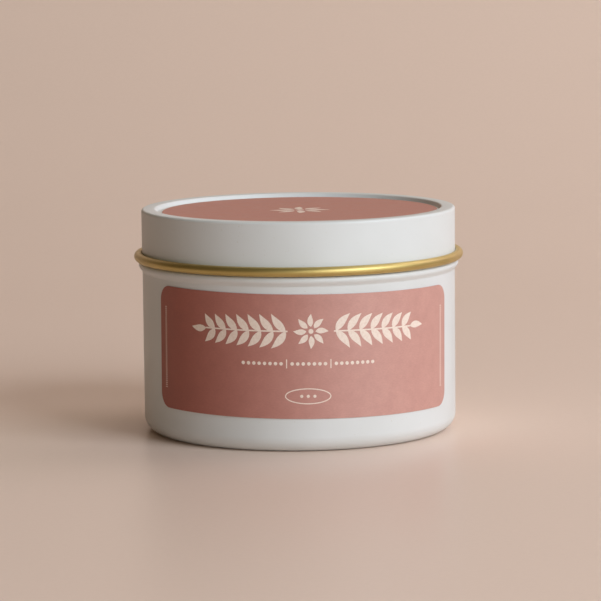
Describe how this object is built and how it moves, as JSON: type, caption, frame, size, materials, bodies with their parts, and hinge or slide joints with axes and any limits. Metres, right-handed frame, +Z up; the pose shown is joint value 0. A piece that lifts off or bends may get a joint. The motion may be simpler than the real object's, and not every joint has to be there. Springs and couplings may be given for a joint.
{
  "type": "candle tin",
  "caption": "Round white metal candle tin with a slip lid that lifts off, gold inside, with wax, wick and paper labels.",
  "frame": {"origin": "middle of the base, on the surface that the tin stands on", "axes": "+Z up along the axis of the tin and the way the lid lifts; the side label faces -Y"},
  "size_m": [0.0682, 0.0682, 0.0462],
  "materials": {
    "white_enamel": "satin",
    "gold_lacquer": "satin",
    "rose_label": "matte",
    "cream_ink": "matte",
    "soy_wax": "satin",
    "wick_cotton": "matte",
    "plated_steel": "satin",
    "sticky_foam": "matte"
  },
  "bodies": {
    "tin": {"tin_body": "white_enamel", "wax_fill": "soy_wax", "wick": "wick_cotton", "wick_sustainer": "plated_steel", "wick_sticker": "sticky_foam", "side_label": "rose_label"},
    "lid": {"tin_lid": "white_enamel", "lid_label": "rose_label"}
  },
  "joints": [
    {"name": "lid_lift", "type": "slide", "parent": "tin", "child": "lid", "axis": [0, 0, 1], "range_m": [0, 0.05]}
  ]
}
